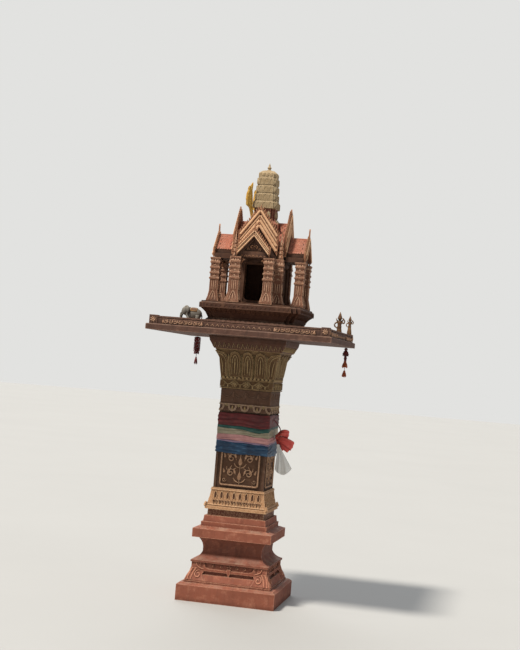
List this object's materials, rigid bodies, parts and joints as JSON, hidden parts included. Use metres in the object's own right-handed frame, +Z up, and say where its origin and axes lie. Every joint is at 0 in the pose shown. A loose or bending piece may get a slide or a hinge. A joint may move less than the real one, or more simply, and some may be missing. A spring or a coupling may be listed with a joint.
{
  "type": "spirit house on a pillar",
  "caption": "Terracotta-red concrete spirit house: moulded pillar, square offering tray and a four-porched shrine with a tiered tower, cloths tied round the shaft.",
  "frame": {"origin": "middle of the plinth's underside, at ground level", "axes": "+Z up the pillar, -Y out of the shrine's doorway, +X to the right of the front"},
  "size_m": [1, 1, 2.441],
  "materials": {
    "red_concrete": "matt masonry paint, weathered",
    "carved_concrete": "matt paint with tan highlights on the relief",
    "column_concrete": "matt paint with pale highlights",
    "gable_concrete": "matt paint with pale peach highlights",
    "gold_concrete": "matt tan paint in the tiers",
    "red_cloth": "satin",
    "green_cloth": "satin",
    "pink_cloth": "satin",
    "blue_cloth": "satin",
    "bow_cloth": "satin",
    "white_cloth": "satin",
    "garland_petals": "matt",
    "figure_paint": "matt paint"
  },
  "bodies": {
    "root": {"abacus": "red_concrete", "base_cornice": "red_concrete", "base_waist": "red_concrete", "capital_collar": "carved_concrete", "cloth_blue": "blue_cloth", "cloth_green": "green_cloth", "cloth_pink": "pink_cloth", "cloth_red": "red_cloth", "corner_piers": "red_concrete", "corner_pinnacles": "gold_concrete", "cross_roof": "red_concrete", "dancer_figures": "figure_paint", "elephant_figure": "figure_paint", "garland_left": "garland_petals", "garland_right": "garland_petals", "lion_foot_base": "red_concrete", "lotus_capital": "carved_concrete", "lotus_skirt": "carved_concrete", "plinth": "red_concrete", "porch_beam_back": "column_concrete", "porch_beam_front": "column_concrete", "porch_beam_left": "column_concrete", "porch_beam_right": "column_concrete", "porch_columns_back": "column_concrete", "porch_columns_front": "column_concrete", "porch_columns_left": "column_concrete", "porch_columns_right": "column_concrete", "porch_gable_back": "gable_concrete", "porch_gable_front": "gable_concrete", "porch_gable_left": "gable_concrete", "porch_gable_right": "gable_concrete", "porch_roofs": "red_concrete", "red_bow": "bow_cloth", "shaft": "red_concrete", "shaft_panels": "carved_concrete", "shaft_pendants": "carved_concrete", "shrine_base": "red_concrete", "shrine_floor": "red_concrete", "tower_base": "red_concrete", "tower_cap": "gold_concrete", "tower_finial": "gold_concrete", "tower_leaves": "gold_concrete", "tower_tiers": "gold_concrete", "tray_corner_blocks": "red_concrete", "tray_rim_back": "red_concrete", "tray_rim_front": "red_concrete", "tray_rim_left": "red_concrete", "tray_rim_right": "red_concrete", "tray_slab": "red_concrete", "upper_gable_back": "gable_concrete", "upper_gable_front": "gable_concrete", "upper_gable_left": "gable_concrete", "upper_gable_right": "gable_concrete", "wall_back": "red_concrete", "wall_front": "red_concrete", "wall_left": "red_concrete", "wall_right": "red_concrete", "white_scarf": "white_cloth"}
  },
  "joints": []
}
